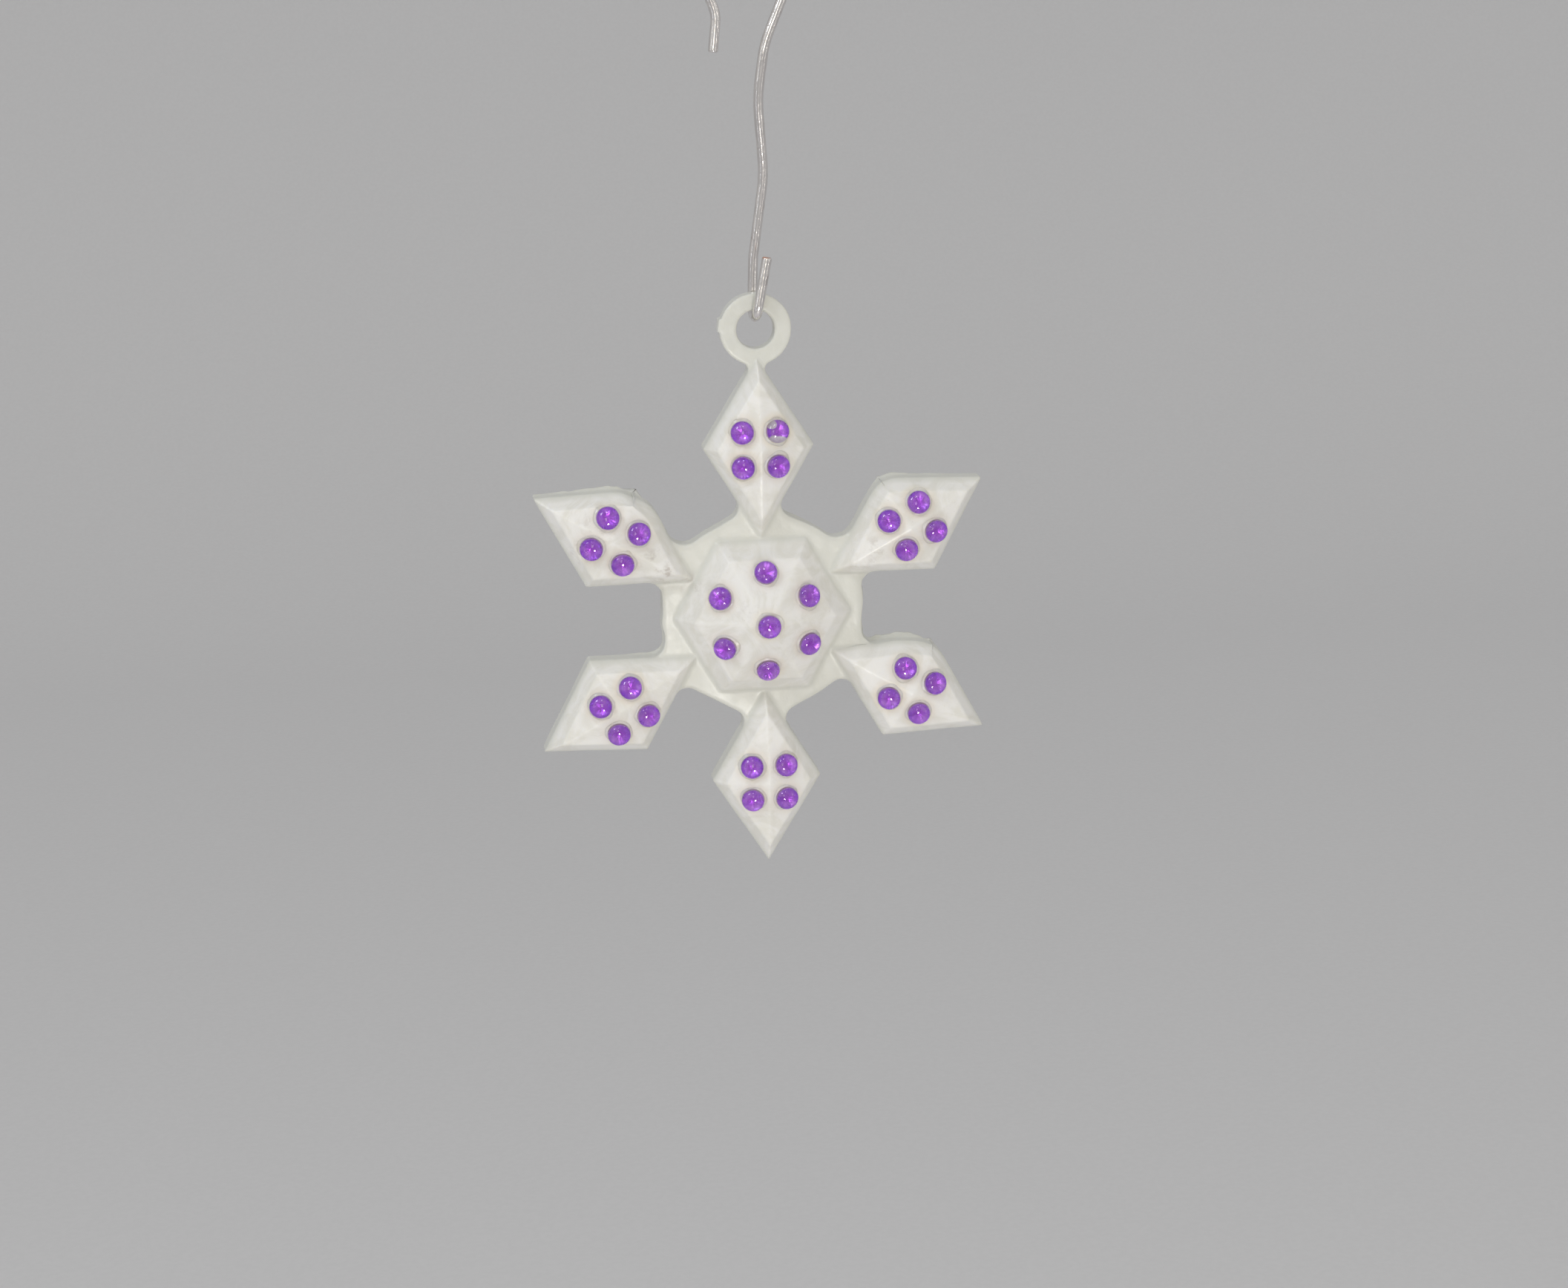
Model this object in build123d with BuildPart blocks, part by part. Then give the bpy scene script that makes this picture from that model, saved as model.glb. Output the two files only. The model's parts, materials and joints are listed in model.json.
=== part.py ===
from build123d import *
import os
from math import atan, atan2, cos, degrees, hypot, radians, sin, tan

# A moulded plastic snowflake with glued rhinestones, hanging by its ring from a bent wire hook.
# Millimetres, +Z up. The snowflake's front faces -Y. The origin is the inside top of the hook's
# crook, where it rests on a branch, and Y = 0 is the middle plane of the hanging ring.

os.makedirs("parts", exist_ok=True)

# Snowflake outline. Radii start at the middle of the hub.
arm_names = ["upper_right", "top", "upper_left", "lower_left", "bottom", "lower_right"]
first_arm_angle = 30.0
tip_radius = 22.0  # to the point of an arm
arm_corner_radius = 14.5  # to the widest place of an arm
arm_half_width = 4.7
web_apothem = 8.5  # to the flat edge of the web between two arms
notch_fillet = 1.1  # inside corner between web and arm
wide_notch_fillet = 1.7  # the same, on the upper sides of the two upper arms
neck_fillet = 0.6  # inside corner between ring and arm

# Heights, stacked upwards from the flat back.
plate_thickness = 1.6
arm_bevel_height = 1.4
arm_bevel_width = 0.92
arm_roof_height = 0.8
hub_foot_apothem = 6.6
hub_bevel_width = 1.4
hub_bevel_height = 1.95
hub_roof_height = 2.2
hub_seat_apothem = 0.95  # small flat on top of the hub, under the middle stone

# Hanging ring.
ring_outer_radius = 3.0
ring_hole_radius = 1.6
ring_back_step = 0.2  # how far the ring's back stands in front of the flat back
ring_overlap = 0.65  # how far the ring reaches down over the top arm's point
ring_edge_radius = 0.15  # rounding of the hole's two edges
gate_width = 1.1  # stub left by the moulding gate, on the side of the ring
gate_height = 0.15
gate_angle = 172.0

# Rhinestones, glued on. A share runs from the peak of a roof towards its corner.
stone_radius = 1.02
stone_girdle = 0.18  # upright side below the dome
stone_dome = 0.68
glue_film = 0.08
glue_margin = 0.05  # how far the glue spreads past the stone
stone_share_along = 0.25
stone_share_across = 0.39
hub_stone_share = 0.73
# The stones were set by hand, each arm's four a little off the middle: (along the arm, across it).
arm_stone_shift = {
    "upper_right": (0.2, 0.1),
    "top": (0.1, 0.1),
    "upper_left": (0.0, -0.2),
    "lower_left": (-0.3, 0.2),
    "bottom": (-0.1, 0.0),
    "lower_right": (-0.2, 0.2),
}
hub_stone_shift = {"top": 0.1, "upper_left": 0.3}  # outwards, on two facets of the hub

# Wire hook. Drops are measured down from the inside top of the crook.
wire_diameter = 0.85
hook_drop = 30.6  # to the middle of the wire inside the ring
crook_half_width = 3.25  # to the middle of the wire
crook_top_bend = 3.2
crook_shoulder_drop = 4.1  # where the crook's two sides bend inwards
crook_throat_half_width = 2.5
crook_throat_drop = 6.1
crook_tip_half_width = 2.85
crook_tip_drop = 9.1
crook_side_bend = 3.0
loop_side_gap = 0.35  # wire to each face of the ring
loop_flat = 0.9  # straight stretch at the bottom of the loop
loop_clearance = 0.12  # under the top of the ring's hole, so that the star can turn
short_leg_height = 5.0
short_leg_lean = 1.0
wire_end_chamfer = 0.1
# The long leg's slow S, from the ring up: share of the hook's drop, sideways, share of the loop's
# half gap that the wire still stands behind the ring's middle plane, and bend radius.
long_leg_sway = [
    (0.15, 0.2, 1.0, 8.0),
    (0.375, 1.2, 0.7, 12.0),
    (0.58, 0.75, 0.25, 12.0),
    (0.72, 1.35, 0.0, 8.0),
]

# Where things stand.
same_place = 1e-4  # closer than this is the same place
sector = 360 / len(arm_names)
half_sector = radians(sector / 2)
arm_root_radius = hub_foot_apothem
hub_shoulder_apothem = hub_foot_apothem - hub_bevel_width
arm_shoulder = plate_thickness + arm_bevel_height
arm_peak = arm_shoulder + arm_roof_height
hub_shoulder = plate_thickness + hub_bevel_height
hub_peak = hub_shoulder + hub_roof_height
ring_thickness = plate_thickness - ring_back_step
ring_centre_radius = tip_radius + ring_outer_radius - ring_overlap
wire_radius = wire_diameter / 2
pivot_z = -hook_drop
hub_z = pivot_z + wire_radius + loop_clearance - ring_hole_radius - ring_centre_radius
back_y = plate_thickness - ring_thickness / 2

# On this plane X is to the right, Y is up, and heights grow from the flat back to the front.
star_plane = Plane(origin=(0, back_y, hub_z), x_dir=(1, 0, 0), z_dir=(0, -1, 0))


def turned(along, across, angle):
    """A point given along and across a direction from the hub, in the star's own X and Y."""
    turn = radians(angle)
    return Vector(along * cos(turn) - across * sin(turn), along * sin(turn) + across * cos(turn))


def raised(point, height):
    """A point of the star at a height above its back, in the frame of the whole object."""
    return star_plane.from_local_coords(Vector(point.X, point.Y, height))


def kite(angle, bevel):
    """An arm's corners, drawn in by a bevel: its point, left corner, root and right corner."""
    point_slope = arm_half_width / (tip_radius - arm_corner_radius)
    root_slope = arm_half_width / (arm_corner_radius - arm_root_radius)
    point = tip_radius - bevel / sin(atan(point_slope))
    root = arm_root_radius + bevel / sin(atan(root_slope))
    side = (point * point_slope + root * root_slope) / (point_slope + root_slope)
    half_width = (point - side) * point_slope
    return [
        turned(point, 0, angle),
        turned(side, half_width, angle),
        turned(root, 0, angle),
        turned(side, -half_width, angle),
    ]


def hexagon(apothem, first_corner):
    """The corners of a hexagon round the hub."""
    corner_radius = apothem / cos(half_sector)
    return [turned(corner_radius, 0, first_corner + sector * arm) for arm in range(len(arm_names))]


def seat_on_facet(spot, corners):
    """A plane on the facet through three corners, at a spot of the star, facing out of it."""
    first, second, third = corners
    normal = (second - first).cross(third - first).normalized()
    if normal.dot(star_plane.z_dir) < 0:
        normal = -normal
    foot = raised(spot, 0)
    height = (first - foot).dot(normal) / star_plane.z_dir.dot(normal)
    return Plane(origin=raised(spot, height), x_dir=Vector(0, 0, 1).cross(normal), z_dir=normal)


def arm_seats(angle, shift):
    """The four places for stones on an arm's roof: outer left, outer right, inner right, inner left."""
    point, left, root, right = kite(angle, arm_bevel_width)
    peak = turned(arm_corner_radius, 0, angle)
    outwards = (point - peak) * stone_share_along
    seats = []
    for end, step, side in (
        (point, outwards, left),
        (point, outwards, right),
        (root, -outwards, right),
        (root, -outwards, left),
    ):
        foot_of_side = turned(side.dot(peak.normalized()), 0, angle)
        sideways = (side - foot_of_side) * stone_share_across
        facet = (raised(peak, arm_peak), raised(end, arm_shoulder), raised(side, arm_shoulder))
        seats.append(seat_on_facet(peak + step + sideways + turned(*shift, angle), facet))
    return seats


def hub_seat(angle, shift):
    """The place for a stone on the hub facet that faces an arm."""
    half_inner = hub_seat_apothem * tan(half_sector)
    out = hub_seat_apothem + (hub_shoulder_apothem - hub_seat_apothem) * hub_stone_share + shift
    facet = (
        raised(turned(hub_seat_apothem, half_inner, angle), hub_peak),
        raised(turned(hub_seat_apothem, -half_inner, angle), hub_peak),
        raised(turned(hub_shoulder_apothem, 0, angle), hub_shoulder),
    )
    return seat_on_facet(turned(out, 0, angle), facet)


def make_glue(seats):
    """A thin round film of glue on each seat."""
    with BuildPart(*seats) as dabs:
        Cylinder(
            stone_radius + glue_margin,
            glue_film,
            align=(Align.CENTER, Align.CENTER, Align.MIN),
        )
    return dabs.part


def make_stone(seat):
    """A flat-backed domed rhinestone that stands on its glue film."""
    girdle_top = glue_film + stone_girdle
    dome_radius = (stone_radius**2 + stone_dome**2) / (2 * stone_dome)
    dome_centre = girdle_top + stone_dome - dome_radius
    dome_angle = degrees(atan((girdle_top - dome_centre) / stone_radius))
    section = Plane(origin=seat.origin, x_dir=seat.x_dir, z_dir=-seat.y_dir)
    with BuildPart() as stone:
        with BuildSketch(section):
            with BuildLine():
                Polyline(
                    (0, girdle_top + stone_dome),
                    (0, glue_film),
                    (stone_radius, glue_film),
                    (stone_radius, girdle_top),
                )
                CenterArc((0, dome_centre), dome_radius, dome_angle, 90 - dome_angle)
            make_face()
        revolve(axis=Axis(seat.origin, seat.z_dir))
    return stone.part


def from_hub(edge):
    """How far an upright edge stands from the hub's middle."""
    return hypot(edge.center().X, edge.center().Z - hub_z)


def off_top(edge):
    """The angle at the hub between an upright edge and the top arm."""
    return atan2(abs(edge.center().X), edge.center().Z - hub_z)


def from_ring(edge):
    """How far an upright edge stands from the middle of the hanging ring."""
    return hypot(edge.center().X, edge.center().Z - hub_z - ring_centre_radius)


def save(piece, name):
    piece.label = name
    export_step(piece, f"parts/{name}.step")


# Star moulding: the flat plate with web, arms and ring, then a raised roof on the hub and each arm.
arm_angles = [first_arm_angle + sector * arm for arm in range(len(arm_names))]

gate_spot = turned(ring_outer_radius, 0, gate_angle) + Vector(0, ring_centre_radius)

with BuildPart() as snowflake_body:
    with BuildSketch(star_plane):
        Polygon(*hexagon(web_apothem, first_arm_angle), align=None)
        for arm_angle in arm_angles:
            Polygon(*kite(arm_angle, 0), align=None)
        with Locations((0, ring_centre_radius)):
            Circle(ring_outer_radius)
            Circle(ring_hole_radius, mode=Mode.SUBTRACT)
    extrude(amount=plate_thickness)

    # the inside corners between web and arms, and those between the top arm and the ring
    upright_edges = snowflake_body.edges().filter_by(Axis.Y)
    notches = upright_edges.filter_by(lambda edge: from_hub(edge) < arm_corner_radius - same_place)
    wide_notches = notches.filter_by(lambda edge: half_sector < off_top(edge) < 2 * half_sector)
    fillet(wide_notches, wide_notch_fillet)
    fillet([edge for edge in notches if edge not in wide_notches], notch_fillet)
    upright_edges = snowflake_body.edges().filter_by(Axis.Y)
    neck = upright_edges.filter_by(lambda edge: abs(from_ring(edge) - ring_outer_radius) < same_place)
    fillet(neck, neck_fillet)

    with BuildSketch(star_plane):
        with Locations(Location((gate_spot.X, gate_spot.Y, 0), gate_angle)):
            Rectangle(2 * gate_height, gate_width)
    extrude(amount=plate_thickness)

    # the ring is a little thinner than the plate, at the back
    with BuildSketch(star_plane):
        with Locations((0, ring_centre_radius)):
            Circle(ring_outer_radius + 2 * gate_height)
    extrude(amount=ring_back_step, mode=Mode.SUBTRACT)
    whole_circles = snowflake_body.edges().filter_by(GeomType.CIRCLE).filter_by(lambda edge: edge.is_closed)
    hole_edges = whole_circles.filter_by(lambda edge: abs(edge.radius - ring_hole_radius) < same_place)
    fillet(hole_edges, ring_edge_radius)

    for arm_angle in arm_angles:
        with BuildSketch(star_plane.offset(plate_thickness)):
            Polygon(*kite(arm_angle, 0), align=None)
        with BuildSketch(star_plane.offset(arm_shoulder)) as roof_foot:
            Polygon(*kite(arm_angle, arm_bevel_width), align=None)
        loft(ruled=True)
        peak_corner = Vertex(raised(turned(arm_corner_radius, 0, arm_angle), arm_peak))
        loft(sections=[roof_foot.sketch, peak_corner], ruled=True)

    for apothem, height in (
        (hub_foot_apothem, plate_thickness),
        (hub_shoulder_apothem, hub_shoulder),
        (hub_seat_apothem, hub_peak),
    ):
        with BuildSketch(star_plane.offset(height)):
            Polygon(*hexagon(apothem, first_arm_angle + sector / 2), align=None)
    loft(ruled=True)

save(snowflake_body.part, "snowflake_body")

# Rhinestones and their glue: four on each arm, one on each hub facet and one on the hub's top.
for arm_name, arm_angle in zip(arm_names, arm_angles):
    seats = arm_seats(arm_angle, arm_stone_shift[arm_name])
    save(make_glue(seats), f"glue_{arm_name}_arm")
    for number, seat in enumerate(seats, start=1):
        save(make_stone(seat), f"rhinestone_{arm_name}_{number}")

hub_seats = {}
for arm_name, arm_angle in zip(arm_names, arm_angles):
    hub_seats[arm_name] = hub_seat(arm_angle, hub_stone_shift.get(arm_name, 0))
hub_seats["centre"] = star_plane.offset(hub_peak)
save(make_glue(list(hub_seats.values())), "glue_hub")
for place, seat in hub_seats.items():
    save(make_stone(seat), f"rhinestone_hub_{place}")

# Wire hook: short front leg, loop under the ring's top, long swaying leg, crook and free tip.
loop_half_gap = ring_thickness / 2 + loop_side_gap + wire_radius
loop_bend = loop_half_gap - loop_flat / 2
loop_route = [
    (short_leg_lean, -loop_half_gap, pivot_z + short_leg_height),
    (0, -loop_half_gap, pivot_z),
    (0, loop_half_gap, pivot_z),
]
long_leg_route = [
    (sideways, behind * loop_half_gap, pivot_z + share * hook_drop)
    for share, sideways, behind, bend in long_leg_sway
]
crook_route = [
    (crook_half_width, 0, -crook_shoulder_drop),
    (crook_half_width, 0, wire_radius),
    (-crook_half_width, 0, wire_radius),
    (-crook_half_width, 0, -crook_shoulder_drop),
    (-crook_throat_half_width, 0, -crook_throat_drop),
    (-crook_tip_half_width, 0, -crook_tip_drop),
]
bends = [loop_bend, loop_bend]
bends += [bend for share, sideways, behind, bend in long_leg_sway]
bends += [crook_side_bend, crook_top_bend, crook_top_bend, crook_side_bend, crook_side_bend]

with BuildPart() as wire_hook:
    with BuildLine() as wire_path:
        FilletPolyline(*loop_route, *long_leg_route, *crook_route, radius=bends)
    with BuildSketch(Plane(origin=wire_path.line @ 0, z_dir=wire_path.line % 0)):
        Circle(wire_radius)
    sweep()
    wire_ends = wire_hook.faces().filter_by(GeomType.PLANE)
    chamfer(wire_ends.edges(), wire_end_chamfer)

save(wire_hook.part, "wire_hook")
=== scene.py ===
import json
import math
import random

import bmesh
import bpy
import numpy as np
from mathutils import Matrix, Vector, noise


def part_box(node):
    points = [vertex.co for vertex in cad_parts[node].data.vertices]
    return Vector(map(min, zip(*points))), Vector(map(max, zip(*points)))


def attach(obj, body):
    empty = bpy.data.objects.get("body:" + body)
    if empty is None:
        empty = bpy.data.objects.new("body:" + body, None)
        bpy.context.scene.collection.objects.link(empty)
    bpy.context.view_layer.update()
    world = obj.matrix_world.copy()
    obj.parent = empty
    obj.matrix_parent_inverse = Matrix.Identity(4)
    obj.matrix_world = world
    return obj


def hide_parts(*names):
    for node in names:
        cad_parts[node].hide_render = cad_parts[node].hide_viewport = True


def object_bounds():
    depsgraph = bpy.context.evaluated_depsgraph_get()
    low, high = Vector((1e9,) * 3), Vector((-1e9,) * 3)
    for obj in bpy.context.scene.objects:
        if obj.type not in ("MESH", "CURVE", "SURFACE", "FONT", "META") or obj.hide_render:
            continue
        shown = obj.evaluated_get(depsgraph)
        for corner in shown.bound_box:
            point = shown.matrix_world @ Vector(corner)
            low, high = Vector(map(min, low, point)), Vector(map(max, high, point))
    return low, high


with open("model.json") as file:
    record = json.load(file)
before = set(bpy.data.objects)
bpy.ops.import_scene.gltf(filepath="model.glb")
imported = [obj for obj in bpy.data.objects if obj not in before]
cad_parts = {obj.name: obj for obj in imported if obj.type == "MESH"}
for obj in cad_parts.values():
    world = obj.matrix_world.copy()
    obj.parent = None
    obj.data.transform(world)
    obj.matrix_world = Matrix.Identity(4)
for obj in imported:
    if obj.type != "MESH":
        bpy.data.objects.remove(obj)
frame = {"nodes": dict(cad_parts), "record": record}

# A moulded snowflake ornament with glued rhinestones, hanging by its ring from a bent wire hook.
# Metres, in the CAD frame. The star has its own axes: x to the right, y up, h from its flat back
# towards the front (-Y), all in millimetres from the middle of the back.

MM = 0.001
SAME_POINT = 0.0001  # vertices nearer than this, in millimetres, are one
cad_low, cad_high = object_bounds()

mounts = {mount["name"]: Vector(mount["pos_m"]) for mount in frame["record"]["mounts"]}
star_back = mounts["flat_back"]
random.seed(7)


# ---------------------------------------------------------------- helpers

def smooth(low, high, value):
    """0 below low, 1 above high, and a smooth step between."""
    share = np.clip((value - low) / (high - low), 0, 1)
    return share * share * (3 - 2 * share)


def to_star(points):
    """Frame positions in metres as the star's x, y and h in millimetres."""
    return np.stack(
        [
            points[:, 0] - star_back.x,
            points[:, 2] - star_back.z,
            star_back.y - points[:, 1],
        ],
        axis=1,
    ) / MM


def noise_at(points, size, seed=0.0):
    """Smooth noise, about -1 to 1, with lumps about size long, at each point."""
    shift = Vector((seed, -0.7 * seed, 1.3 * seed))
    return np.array([noise.noise(Vector(p) / size + shift) for p in points])


def spots_at(star, spots):
    """The sum of soft round spots at each point, each given as x, y, reach and amount."""
    total = np.zeros(len(star))
    for x, y, reach, amount in spots:
        total += amount * np.exp(-(((star[:, 0] - x) ** 2 + (star[:, 1] - y) ** 2) / reach**2))
    return total


def add_piece(name, mesh, body, slot, *nodes):
    """A new shown piece that rides on a body and stands for CAD nodes."""
    piece = bpy.data.objects.new(name, mesh)
    bpy.context.scene.collection.objects.link(piece)
    mesh.shade_smooth()
    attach(piece, body)
    if nodes:
        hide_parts(*nodes)
    return piece


def mesh_points(mesh):
    points = np.empty(len(mesh.vertices) * 3, np.float32)
    mesh.vertices.foreach_get("co", points)
    return points.reshape(-1, 3).astype(float)


def set_points(mesh, points):
    mesh.vertices.foreach_set("co", points.astype(np.float32).ravel())
    mesh.update()


def vertex_normals(mesh):
    normals = np.empty(len(mesh.vertices) * 3, np.float32)
    mesh.vertices.foreach_get("normal", normals)
    return normals.reshape(-1, 3).astype(float)


def add_attribute(mesh, name, values):
    """A number at each vertex, for a material to read."""
    made = mesh.attributes.new(name, "FLOAT", "POINT")
    made.data.foreach_set("value", np.asarray(values, np.float32))


def remeshed(node, voxel):
    """The CAD node's shape as an even skin of small quads, with the voxel's size in millimetres."""
    mesh = frame["nodes"][node].data.copy()
    mesh.transform(Matrix.Scale(1 / MM, 4))
    work = bmesh.new()
    work.from_mesh(mesh)
    bmesh.ops.remove_doubles(work, verts=work.verts, dist=SAME_POINT)
    work.to_mesh(mesh)
    work.free()
    target = bpy.data.objects.new("remesh_target", mesh)
    helper = bpy.data.objects.new("remesh_helper", mesh.copy())
    bpy.context.scene.collection.objects.link(target)
    bpy.context.scene.collection.objects.link(helper)
    cover = helper.modifiers.new("cover", "REMESH")
    cover.mode = "VOXEL"
    cover.voxel_size = voxel
    cover.use_smooth_shade = True
    hug = helper.modifiers.new("hug", "SHRINKWRAP")
    hug.target = target
    hug.wrap_method = "NEAREST_SURFACEPOINT"
    graph = bpy.context.evaluated_depsgraph_get()
    skin = bpy.data.meshes.new_from_object(helper.evaluated_get(graph), depsgraph=graph)
    for made in (helper, target):
        old = made.data
        bpy.data.objects.remove(made)
        bpy.data.meshes.remove(old)
    skin.materials.clear()
    skin.transform(Matrix.Scale(MM, 4))
    return skin


def relaxed(mesh, points, rounds, strength=0.5):
    """The points after each has moved towards the middle of its neighbours a few times."""
    edges = np.empty(len(mesh.edges) * 2, np.int64)
    mesh.edges.foreach_get("vertices", edges)
    ends = edges.reshape(-1, 2)
    count = np.bincount(ends.ravel(), minlength=len(points))[:, None]
    for _ in range(rounds):
        total = np.zeros_like(points)
        for axis in range(3):
            total[:, axis] = np.bincount(
                ends[:, 0], weights=points[ends[:, 1], axis], minlength=len(points)
            ) + np.bincount(ends[:, 1], weights=points[ends[:, 0], axis], minlength=len(points))
        points = points + (total / count - points) * strength
    return points


# ---------------------------------------------------------------- material helpers

def new_material(name):
    material = bpy.data.materials.new(name)
    material.use_nodes = True
    tree = material.node_tree
    shader = tree.nodes["Principled BSDF"]
    return material, tree, shader


def object_noise(tree, scale, detail=2.0, roughness=0.5, distortion=0.0, stretch=None):
    """A noise texture in the piece's own place, with scale in lumps per metre."""
    place = tree.nodes.new("ShaderNodeTexCoord").outputs["Object"]
    if stretch is not None:
        mapping = tree.nodes.new("ShaderNodeMapping")
        mapping.inputs["Scale"].default_value = stretch
        tree.links.new(place, mapping.inputs["Vector"])
        place = mapping.outputs["Vector"]
    texture = tree.nodes.new("ShaderNodeTexNoise")
    texture.inputs["Scale"].default_value = scale
    texture.inputs["Detail"].default_value = detail
    texture.inputs["Roughness"].default_value = roughness
    texture.inputs["Distortion"].default_value = distortion
    tree.links.new(place, texture.inputs["Vector"])
    return texture.outputs["Fac"]


def attribute(tree, name):
    node = tree.nodes.new("ShaderNodeAttribute")
    node.attribute_name = name
    return node.outputs["Fac"]


def spread(tree, value, low, high, to_low=0.0, to_high=1.0):
    """A value's stretch from low to high, mapped to another stretch and held at its ends."""
    node = tree.nodes.new("ShaderNodeMapRange")
    node.interpolation_type = "SMOOTHSTEP"
    node.inputs["From Min"].default_value = low
    node.inputs["From Max"].default_value = high
    node.inputs["To Min"].default_value = to_low
    node.inputs["To Max"].default_value = to_high
    tree.links.new(value, node.inputs["Value"])
    return node.outputs["Result"]


def product(tree, first, second):
    node = tree.nodes.new("ShaderNodeMath")
    node.operation = "MULTIPLY"
    for socket, value in zip(node.inputs, (first, second)):
        if isinstance(value, (int, float)):
            socket.default_value = value
        else:
            tree.links.new(value, socket)
    return node.outputs[0]


def mixed(tree, share, first, second):
    """A colour between two, each a colour or a socket."""
    node = tree.nodes.new("ShaderNodeMix")
    node.data_type = "RGBA"
    tree.links.new(share, node.inputs["Factor"])
    for socket, value in ((node.inputs["A"], first), (node.inputs["B"], second)):
        if isinstance(value, tuple):
            socket.default_value = (*value, 1.0)
        else:
            tree.links.new(value, socket)
    return node.outputs["Result"]


def bumped(tree, shader, height, distance, under=None):
    """Fine relief of that many metres from a height value, on top of another relief."""
    node = tree.nodes.new("ShaderNodeBump")
    node.inputs["Distance"].default_value = distance
    tree.links.new(height, node.inputs["Height"])
    if under is not None:
        tree.links.new(under, node.inputs["Normal"])
    tree.links.new(node.outputs["Normal"], shader.inputs["Normal"])
    return node.outputs["Normal"]


# ---------------------------------------------------------------- stones' places

SAME_LEVEL = 0.00001


class Seat:
    """Where a rhinestone stands: its base's middle and axes, and its radius and height."""

    def __init__(self, node):
        points = mesh_points(frame["nodes"][node].data)
        middle = points.mean(axis=0)
        _, directions = np.linalg.eigh(np.cov((points - middle).T))
        normal = directions[:, 0] * (-1 if directions[1, 0] > 0 else 1)
        heights = points @ normal
        base = points[heights < heights.min() + SAME_LEVEL]
        foot = (base.min(axis=0) + base.max(axis=0)) / 2
        self.name = node
        self.normal = Vector(normal)
        self.foot = Vector(foot)
        self.height = heights.max() - heights.min()
        away = points - foot
        self.radius = np.linalg.norm(away - np.outer(away @ normal, normal), axis=1).max()
        side = Vector((0, 0, 1)).cross(self.normal).normalized()
        self.axes = Matrix((side, self.normal.cross(side), self.normal)).transposed()

    def place(self, points):
        """Points given sideways, upwards and out from the seat, in metres, as frame positions."""
        return points @ np.array(self.axes).T + np.array(self.foot)


stone_nodes = sorted(name for name in frame["nodes"] if name.startswith("rhinestone_"))
seats = {name: Seat(name) for name in stone_nodes}


# ---------------------------------------------------------------- the moulding

BODY_VOXEL = 0.125  # the size of the skin's squares, in millimetres
HEM = 0.02 * MM  # how far inside the CAD box the moulding stays
# Mould flash: x, y, reach and how far it stands out, in millimetres.
FLASH = [
    (-14.8, 11.2, 2.4, 0.30),
    (-12.2, 11.6, 1.3, 0.30),
    (8.6, 0.6, 1.4, 0.45),
    (8.4, -1.8, 0.9, 0.35),
    (10.6, -3.6, 1.6, 0.45),
    (12.6, -2.9, 1.8, 0.45),
    (5.6, -7.4, 1.5, 0.40),
    (-4.4, -8.6, 1.5, 0.35),
    (4.0, 8.8, 1.4, 0.25),
    (-8.5, -1.0, 1.6, 0.20),
    (-9.9, -3.8, 1.2, 0.30),
    (12.0, 11.6, 2.4, 0.22),
]
FLASH_ALL_ROUND = 0.06
FLASH_TOP = 0.55  # the height where the flash ends
# Sunken places on the flat back, under the hub and each arm: x, y, reach and depth.
ARM_MIDDLE = 14.3
SINKS = [(0, 0, 4.2, 0.22)]
SINKS += [
    (
        ARM_MIDDLE * math.cos(math.radians(angle)),
        ARM_MIDDLE * math.sin(math.radians(angle)),
        2.3,
        0.13,
    )
    for angle in range(30, 390, 60)
]
# Where the outline swells or draws in over its whole thickness: x, y, reach and how far out.
SWELLINGS = [
    (-10.2, 11.4, 1.1, -0.75),
    (-8.8, 8.8, 1.8, 0.26),
    (-8.5, 3.3, 1.0, 0.12),
    (8.5, 3.3, 1.0, 0.15),
    (8.4, 0.8, 1.2, 0.18),
    (8.4, -3.2, 0.9, 0.20),
    (11.6, -3.2, 1.9, 0.26),
    (14.9, -3.2, 0.9, -0.40),
    (10.2, 11.4, 0.9, -0.35),
    (4.6, 7.6, 1.6, 0.16),
    (-5.0, 7.6, 1.2, 0.10),
    (-8.4, -1.6, 0.7, -0.10),
    (-8.5, -0.4, 0.6, 0.10),
    (4.8, -7.6, 1.3, 0.14),
]
# Evening out of the skin: how many rounds, and how far a point moves in each.
EDGE_ROUNDS, EDGE_STRENGTH = 2, 0.4
FOOT_ROUNDS, FOOT_STRENGTH = 5, 0.6
LAST_ROUNDS, LAST_STRENGTH = 1, 0.35
# The feet of the hub and arms are evened out most: in a band of heights, fading in over the first
# two and out over the last two, and within a radius that fades out between two.
FOOT_BAND = (1.35, 1.6, 1.9, 2.6)
FOOT_REACH = (10.6, 12.2)
# Slow and fine unevenness of the facets: depth and size of the lumps, in millimetres.
SLOW_DEPTH, SLOW_SIZE = 0.05, 3.4
FINE_DEPTH, FINE_SIZE = 0.02, 1.1
SIDE_SHARE = 0.35  # the sides and back are this much as uneven as the front


def outward_sides(normals):
    """The level part of each normal as a direction, and how level the normal is."""
    outward = normals.copy()
    outward[:, 1] = 0
    level = np.linalg.norm(outward, axis=1)
    return outward / np.maximum(level, 1e-6)[:, None], level


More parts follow.
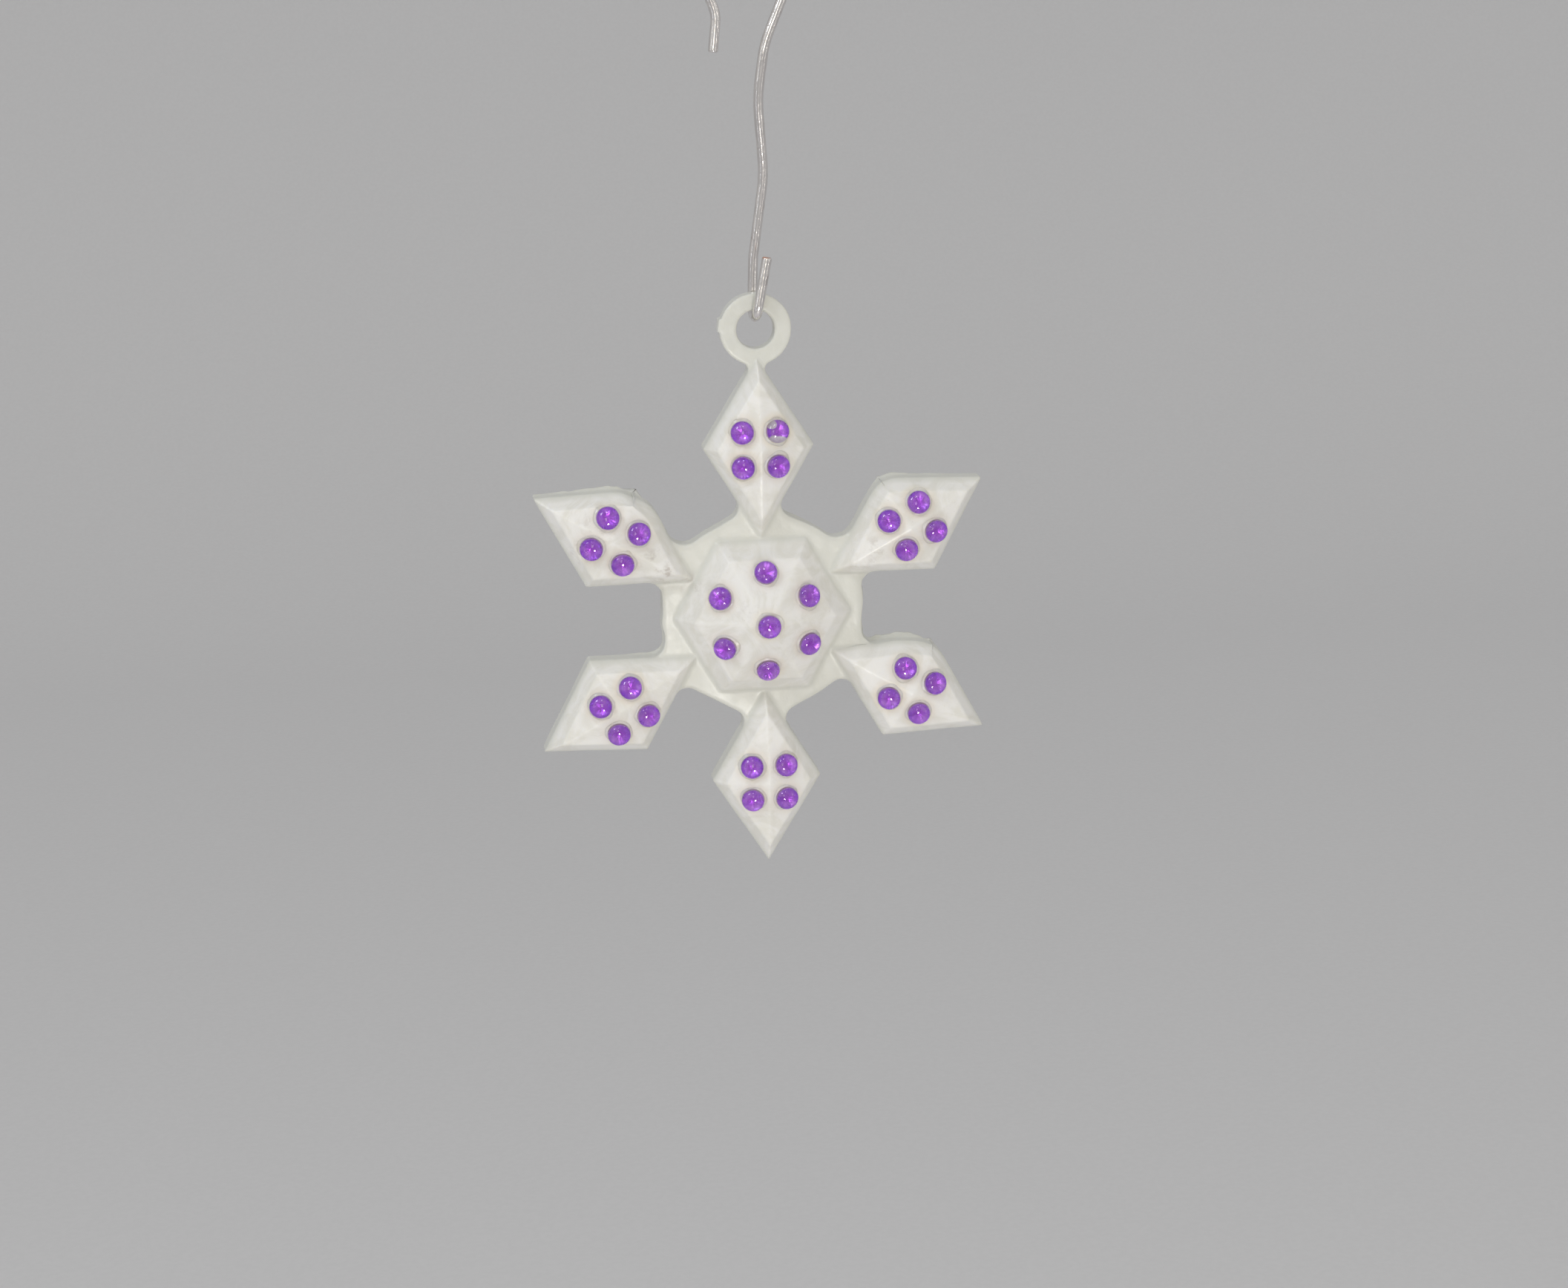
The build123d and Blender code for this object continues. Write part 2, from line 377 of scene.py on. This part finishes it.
def shape_moulding(mesh):
    """Rounds the edges, then makes the skin as uneven as a cheap moulding's."""
    points = relaxed(mesh, mesh_points(mesh), EDGE_ROUNDS, EDGE_STRENGTH)
    star = to_star(points)
    # the feet of the hub and arms run softly into the web
    feet = smooth(*FOOT_BAND[:2], star[:, 2]) * (1 - smooth(*FOOT_BAND[2:], star[:, 2]))
    feet *= 1 - smooth(*FOOT_REACH, np.hypot(star[:, 0], star[:, 1]))
    points = relaxed(mesh, points, FOOT_ROUNDS, FOOT_STRENGTH * feet[:, None])
    set_points(mesh, points)
    normals = vertex_normals(mesh)
    star = to_star(points)
    height = star[:, 2]
    front = np.clip(-normals[:, 1], 0, 1)

    # uneven facets: slow sink and swell, strongest on the front
    swell = SLOW_DEPTH * noise_at(star, SLOW_SIZE, seed=3.0)
    swell += FINE_DEPTH * noise_at(star, FINE_SIZE, seed=9.0)
    points += normals * (swell * (SIDE_SHARE + (1 - SIDE_SHARE) * front))[:, None] * MM

    # the thick places have sunk a little at the back as they cooled
    back = np.clip(normals[:, 1], 0, 1) * smooth(0.5, 0.1, height)
    points[:, 1] -= spots_at(star, SINKS) * back * MM

    # the outline isn't quite even
    outward, sideways = outward_sides(normals)
    swelling = spots_at(star, SWELLINGS) * smooth(0.3, 0.8, sideways)
    points += outward * swelling[:, None] * MM

    # flash at the parting edge, round the back
    ragged = 0.65 + 0.75 * noise_at(star * (1, 1, 0.2), 1.5, seed=21.0)
    ragged += 0.3 * noise_at(star, 0.6, seed=4.0)
    near_back = 1 - smooth(0.05, FLASH_TOP, height)
    rim = (FLASH_ALL_ROUND + spots_at(star, FLASH)) * np.clip(ragged, 0, None) * near_back
    points += outward * (rim * smooth(0.45, 0.9, sideways))[:, None] * MM
    points = relaxed(mesh, points, LAST_ROUNDS, LAST_STRENGTH)
    set_points(mesh, np.clip(points, np.array(cad_low) + HEM, np.array(cad_high) - HEM))


STAIN_REACH = (0.9, 1.85)  # in radii of the stone, where the yellowing starts to fade and ends
THIN_BAND = (1.55, 2.3)  # the heights between which the plastic turns from thin to thick


def stain_at(star, stains):
    """How much glue has yellowed the plastic there."""
    total = np.zeros(len(star))
    for x, y, height, radius, amount in stains:
        gap = np.sqrt(
            (star[:, 0] - x) ** 2 + (star[:, 1] - y) ** 2 + (star[:, 2] - height) ** 2
        )
        total = np.maximum(total, amount * (1 - smooth(*STAIN_REACH, gap / radius)))
    return total


PEARL = (0.86, 0.85, 0.82)
CLOUDY = (0.75, 0.735, 0.67)
THIN_PLASTIC = (0.675, 0.678, 0.62)
GLUE_STAIN = (0.82, 0.73, 0.54)
GRIME = (0.46, 0.41, 0.36)
SPECK = (0.60, 0.56, 0.50)


def pearl_material():
    material, tree, shader = new_material("pearl_plastic_moulded")
    swirls = object_noise(tree, 240, detail=4, roughness=0.6, distortion=2.6)
    swirl = spread(tree, swirls, 0.38, 0.66)
    cloudy = mixed(tree, product(tree, swirl, 0.7), PEARL, CLOUDY)
    thin = product(tree, attribute(tree, "thin"), 0.85)
    webby = mixed(tree, thin, cloudy, THIN_PLASTIC)
    stained = mixed(tree, attribute(tree, "stain"), webby, GLUE_STAIN)
    grime = spread(tree, object_noise(tree, 900, detail=4, roughness=0.7), 0.47, 0.66)
    smudge = product(tree, attribute(tree, "smudge"), grime)
    smudged = mixed(tree, smudge, stained, GRIME)
    specks = spread(tree, object_noise(tree, 5200, detail=1), 0.72, 0.80, to_high=0.3)
    final = mixed(tree, specks, smudged, SPECK)
    tree.links.new(final, shader.inputs["Base Color"])
    gloss = spread(tree, object_noise(tree, 420, detail=3, roughness=0.6), 0.3, 0.7, 0.30, 0.46)
    tree.links.new(gloss, shader.inputs["Roughness"])
    shader.inputs["Subsurface Weight"].default_value = 0.3
    shader.inputs["Subsurface Radius"].default_value = (1.0, 0.95, 0.80)
    shader.inputs["Subsurface Scale"].default_value = 0.0004
    shader.inputs["Coat Weight"].default_value = 0.25
    shader.inputs["Coat Roughness"].default_value = 0.25
    shader.inputs["Sheen Weight"].default_value = 0.06
    slow = bumped(tree, shader, object_noise(tree, 620, detail=3), 0.07 * MM)
    bumped(tree, shader, object_noise(tree, 6500, roughness=0.6), 0.006 * MM, under=slow)
    return material


MARKED_ABOVE = 1.0  # the marks show only on the front, above this height
# Grey-brown marks: x, y, reach and strength.
SMUDGES = [
    (-13.6, 9.0, 1.4, 0.55),
    (-15.2, 6.6, 1.0, 0.5),
    (-8.2, 4.3, 1.1, 0.7),
    (-9.6, 5.8, 0.8, 0.45),
    (9.6, 5.6, 1.0, 0.5),
    (8.2, 4.2, 0.8, 0.4),
    (-1.6, 1.2, 0.9, 0.35),
    (-6.2, 3.0, 1.0, 0.4),
    (0.6, -13.0, 1.0, 0.25),
]


def make_moulding():
    """The whole star moulding, with what its material reads at each vertex."""
    mesh = remeshed("snowflake_body", BODY_VOXEL)
    shape_moulding(mesh)
    star = to_star(mesh_points(mesh))
    stains = []
    for name, seat in seats.items():
        x, y, height = to_star(np.array([seat.foot]))[0]
        amount = random.uniform(0.25, 0.6)
        stains.append((x, y, height, seat.radius / MM, amount))
    add_attribute(mesh, "stain", stain_at(star, stains))
    add_attribute(mesh, "thin", 1 - smooth(*THIN_BAND, star[:, 2]))
    add_attribute(mesh, "smudge", spots_at(star, SMUDGES) * (star[:, 2] > MARKED_ABOVE))
    mesh.materials.append(pearl_material())
    return add_piece("snowflake_moulding", mesh, "star", "pearl_plastic", "snowflake_body")


make_moulding()


# ---------------------------------------------------------------- rhinestones

RINGS = 14
SPOKES = 48
FOIL_FACETS = 8
BASE_RINGS = 6
STONE_SHARE = 0.955  # the stone's radius, as a share of the space kept for it
STONE_RISE = 0.985  # its height, likewise
# The rest are shares of the stone's height or radius.
GIRDLE_SHARE = 0.32
BASE_RISE_SHARE = 0.24
FACET_RELIEF = 0.16
DOME_POWER = 0.9
GIRDLE_FOOT = (0.995, 0.8)
BASE_RADIUS_SHARE = 0.97
FLAKE_RAGGED = 0.22


def glass_material():
    material, tree, shader = new_material("violet_acrylic")
    shader.inputs["Base Color"].default_value = (0.94, 0.87, 1.0, 1)
    shader.inputs["Transmission Weight"].default_value = 1.0
    shader.inputs["IOR"].default_value = 1.62
    scratches = object_noise(tree, 2600, detail=3, roughness=0.6)
    scuffs = spread(tree, scratches, 0.45, 0.75, 0.01, 0.06)
    tree.links.new(scuffs, shader.inputs["Roughness"])
    bumped(tree, shader, object_noise(tree, 1100), 0.01 * MM)
    return material


VIOLET = (0.49, 0.13, 0.92)
LILAC = (0.70, 0.32, 1.0)
# painted shade: the dark violet painted into the middle of each stone's foil
CENTRE_SHADE_VIOLET = (0.40, 0.04, 0.70)
BARE_BACKING = (0.86, 0.84, 0.84)


def foil_material():
    material, tree, shader = new_material("violet_foil")
    patchy = spread(tree, object_noise(tree, 1700, detail=3, roughness=0.55), 0.35, 0.7)
    colour = mixed(tree, patchy, VIOLET, LILAC)
    # painted shade: the foil is painted darker towards its middle, standing in for the dark
    # reflection at the stone's centre
    centre_shade = spread(tree, attribute(tree, "reach"), 0.1, 0.7, 0.75, 0.0)
    centre_shaded = mixed(tree, centre_shade, colour, CENTRE_SHADE_VIOLET)
    bare = spread(tree, attribute(tree, "bare"), 0.42, 0.58)
    final = mixed(tree, bare, centre_shaded, BARE_BACKING)
    tree.links.new(final, shader.inputs["Base Color"])
    metal = spread(tree, attribute(tree, "bare"), 0.42, 0.58, 0.55, 0.0)
    tree.links.new(metal, shader.inputs["Metallic"])
    rough = spread(tree, object_noise(tree, 2100), 0.3, 0.7, 0.22, 0.38)
    tree.links.new(rough, shader.inputs["Roughness"])
    bumped(tree, shader, object_noise(tree, 2400, roughness=0.6), 0.008 * MM)
    return material


def stone_sections(radius, height):
    """The reach and level of each ring from the dome's top to the foiled base's middle, and
    how many of them belong to the dome."""
    girdle = GIRDLE_SHARE * height
    sections = []
    for ring in range(RINGS + 1):
        angle = math.pi / 2 * ring / RINGS
        level = girdle + (height - girdle) * math.cos(angle) ** DOME_POWER
        sections.append((radius * math.sin(angle), level))
    sections.append((radius * GIRDLE_FOOT[0], girdle * GIRDLE_FOOT[1]))
    dome_rings = len(sections)
    for ring in range(1, BASE_RINGS + 1):
        share = 1 - ring / BASE_RINGS
        sections.append((radius * BASE_RADIUS_SHARE * share, BASE_RISE_SHARE * height * share))
    return sections, dome_rings


def bareness(x, y, bare_spots, seed):
    """Above a half where the backing has flaked off, at a place in shares of the radius."""
    if not bare_spots:
        return 0.0
    flake = max(
        size - math.hypot((x - spot_x) / wide, (y - spot_y) / tall)
        for spot_x, spot_y, wide, tall, size in bare_spots
    )
    return 0.5 + flake + FLAKE_RAGGED * noise.noise(Vector((x * 2.3, y * 2.3, seed)))


def stone_mesh(seat, glass, foil, bare_spots):
    """A clear dome on a shallow, many-sided foiled base, closed all round."""
    turn = random.uniform(0, 2 * math.pi)
    radius, height = seat.radius * STONE_SHARE, seat.height * STONE_RISE
    sections, dome_rings = stone_sections(radius, height)
    facet_spokes = SPOKES // FOIL_FACETS
    points, bare, reaches = [], [], []
    for index, (reach, level) in enumerate(sections):
        for spoke in range(SPOKES):
            angle = turn + 2 * math.pi * spoke / SPOKES
            facet = (spoke % facet_spokes) / facet_spokes - 0.5
            rise = level
            if index >= dome_rings:
                rise += FACET_RELIEF * height * (facet * facet - 0.25) * reach / radius
            x, y = reach * math.cos(angle), reach * math.sin(angle)
            points.append((x, y, rise))
            reaches.append(reach / radius)
            bare.append(bareness(x / radius, y / radius, bare_spots, turn))
    work = bmesh.new()
    verts = [work.verts.new(p) for p in seat.place(np.array(points))]
    for index in range(len(sections) - 1):
        for spoke in range(SPOKES):
            following = (spoke + 1) % SPOKES
            corners = (
                verts[index * SPOKES + spoke],
                verts[(index + 1) * SPOKES + spoke],
                verts[(index + 1) * SPOKES + following],
                verts[index * SPOKES + following],
            )
            face = work.faces.new(corners)
            face.material_index = int(index >= dome_rings - 1)
    mesh = bpy.data.meshes.new(seat.name)
    work.to_mesh(mesh)
    work.free()
    mesh.materials.append(glass)
    mesh.materials.append(foil)
    add_attribute(mesh, "bare", bare)
    add_attribute(mesh, "reach", reaches)
    work = bmesh.new()
    work.from_mesh(mesh)
    bmesh.ops.remove_doubles(work, verts=work.verts, dist=SAME_POINT * MM)
    bmesh.ops.recalc_face_normals(work, faces=work.faces)
    work.to_mesh(mesh)
    work.free()
    return mesh


# Where the backing has flaked off one stone: x, y, width, height and size of each bare spot, as
# shares of the stone's radius.
FLAKED = {
    "rhinestone_top_2": [(0.0, -0.75, 1.0, 0.6, 0.80), (-0.42, 0.5, 0.5, 0.45, 0.72)],
}


def make_stones():
    glass, foil = glass_material(), foil_material()
    for name, seat in seats.items():
        mesh = stone_mesh(seat, glass, foil, FLAKED.get(name, []))
        add_piece(name.replace("rhinestone", "stone"), mesh, "star", "violet_stone", name)


make_stones()


# ---------------------------------------------------------------- glue

def glue_material():
    material, tree, shader = new_material("yellowed_glue")
    tint = spread(tree, object_noise(tree, 1100), 0.3, 0.7)
    colour = mixed(tree, tint, (0.85, 0.81, 0.71), (0.84, 0.76, 0.62))
    tree.links.new(colour, shader.inputs["Base Color"])
    shader.inputs["Subsurface Weight"].default_value = 0.5
    shader.inputs["Subsurface Radius"].default_value = (1.0, 0.9, 0.7)
    shader.inputs["Subsurface Scale"].default_value = 0.0005
    shader.inputs["IOR"].default_value = 1.47
    rough = spread(tree, object_noise(tree, 2400), 0.3, 0.7, 0.18, 0.36)
    tree.links.new(rough, shader.inputs["Roughness"])
    bumped(tree, shader, object_noise(tree, 2200), 0.01 * MM)
    return material


# A collar of glue: shares of the stone's radius, and of the film's thickness.
DAB_SECTION = [
    (0.88, -0.6),
    (0.93, 1.0),
    (0.97, 0.95),
    (1.02, 0.55),
    (1.08, 0.15),
    (1.15, -0.15),
    (1.17, -0.6),
]
DAB_SPOKES = 56
DAB_STILL = 0.9  # the share of the radius where the collar's width doesn't waver
DAB_SINK = 0.9  # how far the collar sits below the stone's base, in films
GLUE_FILM = 0.08 * MM


def add_dab(work, seat):
    """One squeezed-out collar of glue round a stone, thickest at the stone and uneven all round."""
    seed = random.uniform(0, 50)
    rings = []
    for reach, level in DAB_SECTION:
        ring = []
        for spoke in range(DAB_SPOKES):
            angle = 2 * math.pi * spoke / DAB_SPOKES
            wobble = noise.noise(Vector((math.cos(angle) * 1.3, math.sin(angle) * 1.3, seed)))
            out = seat.radius * (reach + (reach - DAB_STILL) * 0.7 * wobble)
            rise = GLUE_FILM * (level * (1 + 0.5 * wobble) - DAB_SINK)
            ring.append((out * math.cos(angle), out * math.sin(angle), rise))
        rings.append([work.verts.new(p) for p in seat.place(np.array(ring))])
    rings.append(rings[0])
    for inner, outer in zip(rings, rings[1:]):
        for spoke in range(DAB_SPOKES):
            following = (spoke + 1) % DAB_SPOKES
            work.faces.new((inner[spoke], outer[spoke], outer[following], inner[following]))


def make_glue():
    """One piece of glue collars for each glue node, round the stones it holds."""
    material = glue_material()
    for node in sorted(name for name in frame["nodes"] if name.startswith("glue_")):
        place = node.removeprefix("glue_").removesuffix("_arm")
        work = bmesh.new()
        for name, seat in seats.items():
            of_hub = name.startswith("rhinestone_hub_")
            owner = "hub" if of_hub else name.removeprefix("rhinestone_").rpartition("_")[0]
            if owner == place:
                add_dab(work, seat)
        bmesh.ops.recalc_face_normals(work, faces=work.faces)
        mesh = bpy.data.meshes.new(node + "_dabs")
        work.to_mesh(mesh)
        work.free()
        mesh.materials.append(material)
        add_piece(node + "_dabs", mesh, "star", "glue", node)


make_glue()


# ---------------------------------------------------------------- wire

WIRE_VOXEL = 0.07
CUT_REACH = 0.16 * MM  # how far the bare copper shows at a cut end
SHORT_LEG_DEPTH = 1.0 * MM  # the short leg lies within this of the hook's foremost place
WIRE_ROUNDS, WIRE_STRENGTH = 2, 0.5
# Long and short dents: depth and size, in millimetres; and how far the skin is drawn in for them.
LONG_DENT, LONG_DENT_SIZE = 0.012, 1.6
SHORT_DENT, SHORT_DENT_SIZE = 0.006, 0.5
DRAWN_IN = 0.008


def wire_material():
    material, tree, shader = new_material("bright_plated_wire")
    streaks = object_noise(tree, 900, detail=3, roughness=0.6, stretch=(6, 6, 0.25))
    tone = spread(tree, streaks, 0.3, 0.7)
    plated = mixed(tree, tone, (0.90, 0.87, 0.85), (0.74, 0.71, 0.70))
    rubbed = object_noise(tree, 1500, detail=3, roughness=0.6)
    worn = spread(tree, rubbed, 0.60, 0.72, to_high=0.35)
    dulled = mixed(tree, worn, plated, (0.44, 0.38, 0.36))
    colour = mixed(tree, attribute(tree, "cut"), dulled, (0.70, 0.42, 0.31))
    tree.links.new(colour, shader.inputs["Base Color"])
    shader.inputs["Metallic"].default_value = 1.0
    rough = spread(tree, streaks, 0.3, 0.75, 0.10, 0.22)
    tree.links.new(rough, shader.inputs["Roughness"])
    bumped(tree, shader, streaks, 0.012 * MM)
    return material


def make_wire():
    """The bent wire, a little uneven, with bare metal at its two cut ends."""
    mesh = remeshed("wire_hook", WIRE_VOXEL)
    points = relaxed(mesh, mesh_points(mesh), WIRE_ROUNDS, WIRE_STRENGTH)
    set_points(mesh, points)
    places = points / MM
    dents = LONG_DENT * noise_at(places, LONG_DENT_SIZE, seed=5.0)
    dents += SHORT_DENT * noise_at(places, SHORT_DENT_SIZE, seed=8.0)
    points += vertex_normals(mesh) * (dents - DRAWN_IN)[:, None] * MM
    set_points(mesh, points)

    low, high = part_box("wire_hook")
    tip = points[:, 0] < (low.x + high.x) / 2
    tip_end = points[tip][:, 2].min()
    front = points[:, 1] < low.y + SHORT_LEG_DEPTH
    leg_end = points[front][:, 2].max()
    cut = np.maximum(
        tip * smooth(tip_end + CUT_REACH, tip_end, points[:, 2]),
        front * smooth(leg_end - CUT_REACH, leg_end - CUT_REACH / 2, points[:, 2]),
    )
    add_attribute(mesh, "cut", cut)
    mesh.materials.append(wire_material())
    add_piece("bent_wire_hook", mesh, "hanger", "plated_wire", "wire_hook")


make_wire()


# ---------------------------------------------------------------- stage

def stage_material():
    material, tree, shader = new_material("matte_backdrop")
    tone = spread(tree, object_noise(tree, 900), 0.3, 0.7)
    colour = mixed(tree, tone, (0.76, 0.76, 0.775), (0.745, 0.745, 0.76))
    tree.links.new(colour, shader.inputs["Base Color"])
    shader.inputs["Roughness"].default_value = 0.9
    return material


# Metres. A level floor that sweeps up into a wall behind the ornament.
FLOOR_GAP = 0.130  # from the ornament's lowest place down to the floor
STAGE_HALF = 4.0
SWEEP_START = 0.55
SWEEP_RADIUS = 0.30
SWEEP_STEPS = 16
WALL_TOP = 0.9


def make_stage():
    floor_z = cad_low.z - FLOOR_GAP
    profile = [(-STAGE_HALF, floor_z), (SWEEP_START, floor_z)]
    for step in range(1, SWEEP_STEPS + 1):
        angle = math.pi / 2 * step / SWEEP_STEPS
        profile.append(
            (
                SWEEP_START + SWEEP_RADIUS * math.sin(angle),
                floor_z + SWEEP_RADIUS * (1 - math.cos(angle)),
            )
        )
    profile.append((SWEEP_START + SWEEP_RADIUS, WALL_TOP))
    points = [(side, y, z) for y, z in profile for side in (-STAGE_HALF, STAGE_HALF)]
    faces = [(2 * i, 2 * i + 1, 2 * i + 3, 2 * i + 2) for i in range(len(profile) - 1)]
    mesh = bpy.data.meshes.new("backdrop")
    mesh.from_pydata(points, [], faces)
    mesh.shade_smooth()
    mesh.materials.append(stage_material())
    backdrop = bpy.data.objects.new("backdrop", mesh)
    bpy.context.scene.collection.objects.link(backdrop)


make_stage()


# ---------------------------------------------------------------- light and camera

# Soft panels: offset from the star, width and length in metres, power in watts and colour. A
# length of None makes a square panel.
LIGHTS = {
    "key": ((-0.17, -0.12, 0.17), 0.055, 0.075, 0.118, (0.86, 0.92, 1.0)),
    "overhead": ((-0.03, -0.17, 0.22), 0.05, 0.04, 0.05, (0.97, 0.98, 1.0)),
    "front": ((-0.06, -0.33, 0.06), 0.06, 0.10, 0.06, (1.0, 0.93, 0.82)),
    "low": ((0.0, -0.26, -0.09), 0.05, None, 0.160, (1.0, 0.96, 0.90)),
    "left_strip": ((-0.28, -0.16, 0.01), 0.016, 0.28, 0.026, (0.90, 0.94, 1.0)),
    "right_strip": ((0.24, -0.20, 0.01), 0.014, 0.28, 0.032, (1.0, 0.95, 0.88)),
}
AMBIENT = (1.0, 0.992, 0.968, 1)
AMBIENT_STRENGTH = 0.565


def add_light(name, offset, width, length, power, colour):
    """A soft panel that faces the star."""
    data = bpy.data.lights.new(name, "AREA")
    data.energy = power
    data.color = colour
    data.size = width
    if length is not None:
        data.shape = "RECTANGLE"
        data.size_y = length
    light = bpy.data.objects.new(name, data)
    light.location = star_back + Vector(offset)
    light.rotation_mode = "QUATERNION"
    light.rotation_quaternion = (-Vector(offset)).to_track_quat("-Z", "Y")
    bpy.context.scene.collection.objects.link(light)


def make_light():
    for name, settings in LIGHTS.items():
        add_light(name, *settings)
    world = bpy.data.worlds.new("studio")
    world.use_nodes = True
    world.node_tree.nodes["Background"].inputs["Color"].default_value = AMBIENT
    world.node_tree.nodes["Background"].inputs["Strength"].default_value = AMBIENT_STRENGTH
    bpy.context.scene.world = world


# The camera's direction from the star; its distance and how far from the middle it aims, in
# metres.
AZIMUTH = math.radians(-7.25)
ELEVATION = math.radians(14.09)
ROLL = math.radians(1.42)
DISTANCE = 0.242
AIM_RIGHT = 0.00192
AIM_DOWN = 0.00272
PLATE_HALF = 0.0008
SENSOR_WIDTH = 36  # millimetres, as the lens
LENS = 65.1


def make_camera():
    back = Vector(
        (
            math.sin(AZIMUTH) * math.cos(ELEVATION),
            -math.cos(AZIMUTH) * math.cos(ELEVATION),
            math.sin(ELEVATION),
        )
    )
    level_right = Vector((math.cos(AZIMUTH), math.sin(AZIMUTH), 0))
    level_up = back.cross(level_right)
    right = level_right * math.cos(ROLL) - level_up * math.sin(ROLL)
    up = level_right * math.sin(ROLL) + level_up * math.cos(ROLL)
    middle = star_back - Vector((0, PLATE_HALF, 0))
    place = middle + back * DISTANCE
    aim = middle + right * AIM_RIGHT - up * AIM_DOWN
    behind = (place - aim).normalized()
    side = up.cross(behind).normalized()
    data = bpy.data.cameras.new("camera")
    data.sensor_width = SENSOR_WIDTH
    data.lens = LENS
    data.clip_start = 0.01
    data.clip_end = 10
    camera = bpy.data.objects.new("camera", data)
    turn = Matrix((side, behind.cross(side), behind)).transposed()
    camera.matrix_world = Matrix.Translation(place) @ turn.to_4x4()
    bpy.context.scene.collection.objects.link(camera)
    bpy.context.scene.camera = camera


make_light()
make_camera()
bpy.context.scene.view_settings.view_transform = "Standard"
